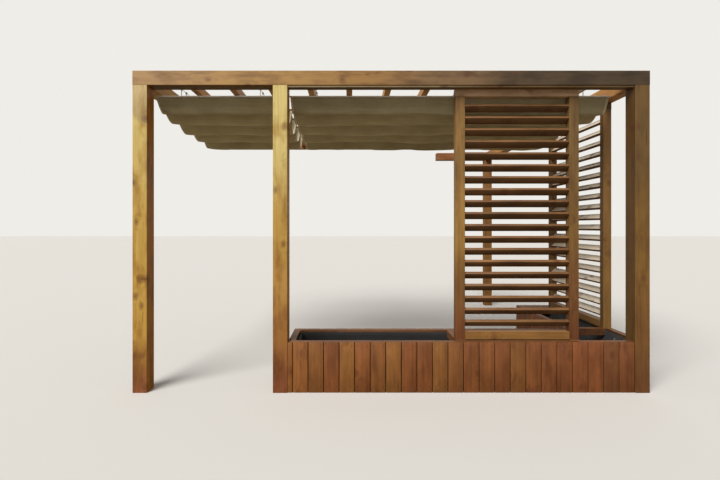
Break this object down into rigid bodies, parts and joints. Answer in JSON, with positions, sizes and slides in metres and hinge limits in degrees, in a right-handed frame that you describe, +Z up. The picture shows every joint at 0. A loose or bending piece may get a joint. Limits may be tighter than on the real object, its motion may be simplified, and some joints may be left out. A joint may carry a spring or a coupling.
{
  "type": "wooden pergola",
  "caption": "Square-post timber pergola for the corner of a house, with rafters, louvre screens over an L-shaped board planter and pleated cloth canopies hung under the roof.",
  "frame": {"origin": "on the ground, in the middle of the frame's plan", "axes": "+X along the front to the right, +Y from the front to the wall, +Z up"},
  "size_m": [4.815, 4.2, 3],
  "materials": {
    "golden_pine": "planed softwood, oiled",
    "stained_pine": "planed softwood, brown",
    "beam_pine": "planed softwood, tan",
    "rafter_pine": "planed softwood, oiled",
    "screen_pine": "planed softwood, brown",
    "planter_pine": "sawn, red-brown",
    "canopy_cloth": "woven awning cloth",
    "rod_aluminium": "satin",
    "wire_steel": "stainless, satin"
  },
  "bodies": {
    "root": {"beam_front": "beam_pine", "beam_left": "beam_pine", "beam_rear": "beam_pine", "beam_right": "beam_pine", "canopy_hangers": "wire_steel", "canopy_left": "canopy_cloth", "canopy_left_rods": "rod_aluminium", "canopy_right": "canopy_cloth", "canopy_right_rods": "rod_aluminium", "canopy_wires": "wire_steel", "front_screen_bottom_rail": "screen_pine", "front_screen_left_stile": "screen_pine", "front_screen_right_stile": "screen_pine", "front_screen_slats": "screen_pine", "front_screen_top_rail": "screen_pine", "head_batten": "golden_pine", "planter_back_boards": "planter_pine", "planter_floor": "planter_pine", "planter_front_boards": "planter_pine", "planter_inner_boards": "planter_pine", "planter_left_boards": "planter_pine", "planter_outer_boards": "planter_pine", "planter_rails": "planter_pine", "planter_rear_boards": "planter_pine", "planter_studs": "planter_pine", "planter_ties": "planter_pine", "post_front_left": "golden_pine", "post_front_middle": "golden_pine", "post_front_right": "stained_pine", "post_rear_right": "golden_pine", "rafter_01": "rafter_pine", "rafter_02": "rafter_pine", "rafter_03": "rafter_pine", "rafter_04": "rafter_pine", "rafter_05": "rafter_pine", "rafter_06": "rafter_pine", "rafter_07": "rafter_pine", "rafter_08": "rafter_pine", "rafter_09": "rafter_pine", "rafter_10": "rafter_pine", "rafter_11": "rafter_pine", "side_screen_bottom_rail": "screen_pine", "side_screen_front_stile": "screen_pine", "side_screen_rear_stile": "screen_pine", "side_screen_slats": "screen_pine", "side_screen_top_rail": "screen_pine", "wall_plate": "beam_pine"}
  },
  "joints": []
}
